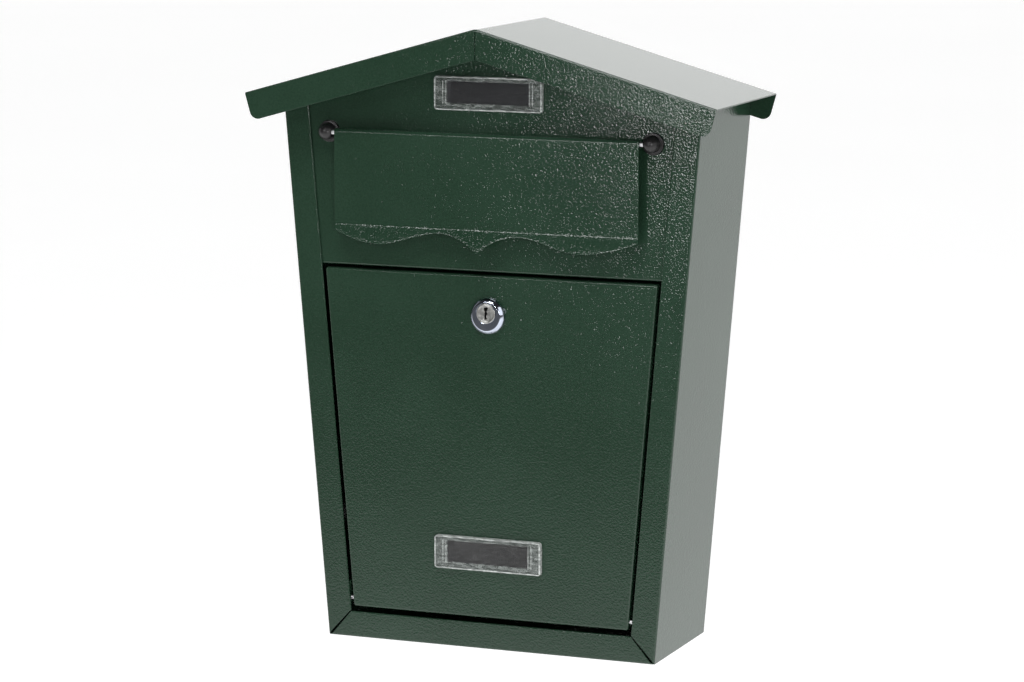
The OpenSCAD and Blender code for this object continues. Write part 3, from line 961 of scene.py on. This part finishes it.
def makeLock():
    low, high = boxOf("lock_housing")
    plugLow, plugHigh = boxOf("lock_plug")
    doorFace = boxOf("door")[0].y
    lockZ, plugZ = (low.z + high.z) / 2, (plugLow.z + plugHigh.z) / 2
    s = lockShape
    # radius, depth, height of the centre, half width across the flats
    bore, headBore = s["plug"] + s["play"], s["plugHead"] + s["play"]
    rings = [(bore, high.y, plugZ, None), (bore, low.y + 1.75, plugZ, None)]
    rings += [(headBore, low.y + 1.7, plugZ, None), (headBore, low.y + 0.2, plugZ, None)]
    rings += [(s["plugHead"] + 0.3, low.y, plugZ, None)]
    rings += [(s["face"] - 0.3, low.y, lockZ, None), (s["face"], low.y + 0.08, lockZ, None)]
    rings += [(s["face"] + out, low.y + back, lockZ, None) for out, back in s["flank"]]
    rings += [(s["barrel"], doorFace - 0.02, lockZ, s["flats"])]
    y = doorFace + 1.0
    while y < high.y - 1.2:  # thread
        rings += [(s["barrel"] - s["thread"], y, lockZ, s["flats"])]
        rings += [(s["barrel"], y + s["pitch"] / 2, lockZ, s["flats"])]
        y += s["pitch"]
    rings += [(s["barrel"] - 0.6, high.y, lockZ, s["flats"] - 0.2)]
    loops = [ring(r, y, 0, z, 64, flats) for r, y, z, flats in rings]
    loops.append(loops[0])
    piece = closedPiece([ringsOf(loops)], "lock_casing", sharp=34)
    standFor(piece, "lock_housing", lockChrome)


keyway = {  # the two sides of a waved slot, wider at its head
    "right": ((0.55, -3.6), (0.62, -2.6), (0.25, -1.9), (0.3, -1.1), (0.95, -0.5), (1.0, 0.5), (0.5, 1.0),
              (0.75, 1.9), (1.25, 2.4), (1.2, 3.2), (0.75, 3.6)),
    "left": ((-0.85, 3.5), (-1.15, 2.9), (-0.95, 1.6), (-0.55, 1.1), (-0.75, 0.2), (-0.6, -0.8), (-0.9, -1.5),
             (-0.7, -2.6), (-0.5, -3.5)),
}


def keywayOutline(y, plugZ):
    return [(x, y, plugZ + z) for x, z in keyway["right"] + keyway["left"]]


def makePlug():
    low, high = boxOf("lock_plug")
    plugZ = (low.z + high.z) / 2
    s = lockShape
    head, shank = s["plugHead"], s["plug"]
    shankEnd = boxOf("lock_cam")[0].y - 0.02
    sunk = low.y + 0.22
    circles = [(head - 1.25, sunk), (head - 0.95, low.y + 0.06), (head - 0.7, low.y)]
    circles += [(head - 0.3, low.y), (head - 0.08, low.y + 0.1), (head, low.y + 0.3)]
    circles += [(head, low.y + 1.8), (shank, low.y + 1.85), (shank, shankEnd)]
    loops = [ring(r, y, 0, plugZ, 64) for r, y in circles]
    tailLoops = [boxLoop(s["tail"], s["tail"], 0.3, y, plugZ, 2) for y in (shankEnd - 1, high.y)]
    slotFoot = sunk + s["keyDeep"]
    slot, slotEnd = keywayOutline(sunk, plugZ), keywayOutline(slotFoot, plugZ)
    parts = [ringsOf(loops, False, True), filled(loops[0], [slot]), ringsOf([slot, slotEnd], False, True),
             ringsOf(tailLoops, True, True)]
    piece = closedPiece(parts, "lock_core_face", sharp=34)
    standFor(piece, "lock_plug", plugPlate)
    piece.data.materials.append(blackPlastic)
    for face in piece.data.polygons:  # the slot's walls take the black plastic finish as painted shade in the deep keyway
        across, depth, rise = face.center / mm
        nearAxis = math.hypot(across, rise - plugZ) < shank - 0.9
        face.material_index = 1 if nearAxis and sunk + 0.2 < depth < slotFoot + 1 else 0


makeLock()
makePlug()
print("mailbox: lock made")


# pieces that keep their own shape

keptPieces = {
    # finish, width of the eased edges
    "back_panel": (greenPaint, 0.14),
    "left_hinge_ear": (greenPaint, 0.14), "right_hinge_ear": (greenPaint, 0.14),
    "left_hinge_pin": (zincPlate, 0.2), "right_hinge_pin": (zincPlate, 0.2), "flap_rod": (zincPlate, 0.25),
    "lock_washer": (zincPlate, 0.12), "lock_nut": (zincPlate, 0.25), "lock_cam": (zincPlate, 0.2),
    "cam_screw": (zincPlate, 0.15), "lock_wafers": (waferBrass, 0.05),
    "upper_name_card": (upperCard, 0.03), "lower_name_card": (lowerCard, 0.03),
}

for node, (finish, edge) in keptPieces.items():
    kept = frame["nodes"][node]
    for slotIndex in range(max(1, len(kept.data.materials))):
        if kept.data.materials:
            kept.data.materials[slotIndex] = finish
        else:
            kept.data.materials.append(finish)
    weld = kept.modifiers.new("weld", "WELD")
    weld.merge_threshold = 0.005 * mm
    eased(kept, edge, 40)
    even = kept.modifiers.new("flat faces", "WEIGHTED_NORMAL")
    even.keep_sharp = True
print("mailbox: finishes on the kept pieces")


# studio

studio = {
    "target": (0.0145, -0.087, 0.0215), "back": (0.3679, -0.9168, 0.1555), "distance": 2.137, "lens": 131.9,
    "floorDrop": 0.30, "floorSize": 12.0, "aim": (0.0, -0.06, 0.02),
    "behind": 1.42, "ahead": 0.03, "turn": (-0.2, 0.25),  # the world's strength, and where along y it turns
}


def makeCamera():
    camera = bpy.data.objects.new("camera", bpy.data.cameras.new("camera"))
    bpy.context.scene.collection.objects.link(camera)
    back = Vector(studio["back"]).normalized()
    camera.location = Vector(studio["target"]) + back * studio["distance"]
    camera.rotation_mode = "QUATERNION"
    camera.rotation_quaternion = (-back).to_track_quat("-Z", "Y")
    camera.data.lens = studio["lens"]
    camera.data.sensor_width = 36
    camera.data.clip_start, camera.data.clip_end = 0.05, 60
    bpy.context.scene.camera = camera


def makeWorld():  # bright behind the mailbox, dim in front of it
    f = Finish(bpy.data.worlds.new("studio"), "Background")
    depth = f.node("ShaderNodeSeparateXYZ", None, {0: f.node("ShaderNodeTexCoord", output="Generated")}, "Y")
    rise = studio["behind"] - studio["ahead"]
    bpy.context.scene.world = f.set(Color=rgb(1, 1, 1),
                                    Strength=depth.smooth(*studio["turn"]) * rise + studio["ahead"])


def makeFloor():
    size = studio["floorSize"] / mm
    z = (cadLow.z - studio["floorDrop"]) / mm
    rows = [[(x, y, z) for x in spread(-size, size, 4)] for y in spread(-size, size, 4)]
    floor = joined([gridOf(rows)], "studio_floor")
    floor.data.materials.append(floorFinish())


softboxes = {  # place, width and height in metres, power in watts
    "front_left": {"place": (-0.40, -1.95, 0.075), "wide": 0.1, "tall": 0.13, "power": 1.5},
    "front_high": {"place": (-0.55, -1.9, 0.75), "wide": 0.7, "tall": 0.16, "power": 5},
    "key_right": {"place": (1.15, -2.0, 0.42), "wide": 0.45, "tall": 0.45, "power": 10.5},
    "far_right": {"place": (1.95, -0.94, 0.85), "wide": 1.0, "tall": 1.6, "power": 8},
    "overhead": {"place": (0.0, -1.1, 1.7), "wide": 0.6, "tall": 0.6, "power": 17},
}


def makeSoftbox(name, box):
    light = bpy.data.lights.new(name, "AREA")
    light.shape = "RECTANGLE"
    light.size, light.size_y = box["wide"], box["tall"]
    light.energy = box["power"]
    lamp = bpy.data.objects.new(name, light)
    bpy.context.scene.collection.objects.link(lamp)
    lamp.location = box["place"]
    lamp.rotation_mode = "QUATERNION"
    lamp.rotation_quaternion = (Vector(studio["aim"]) - lamp.location).to_track_quat("-Z", "Y")


makeCamera()
makeWorld()
makeFloor()
for name, box in softboxes.items():
    makeSoftbox(name, box)
bpy.context.scene.view_settings.view_transform = "Standard"
print("mailbox: studio made")
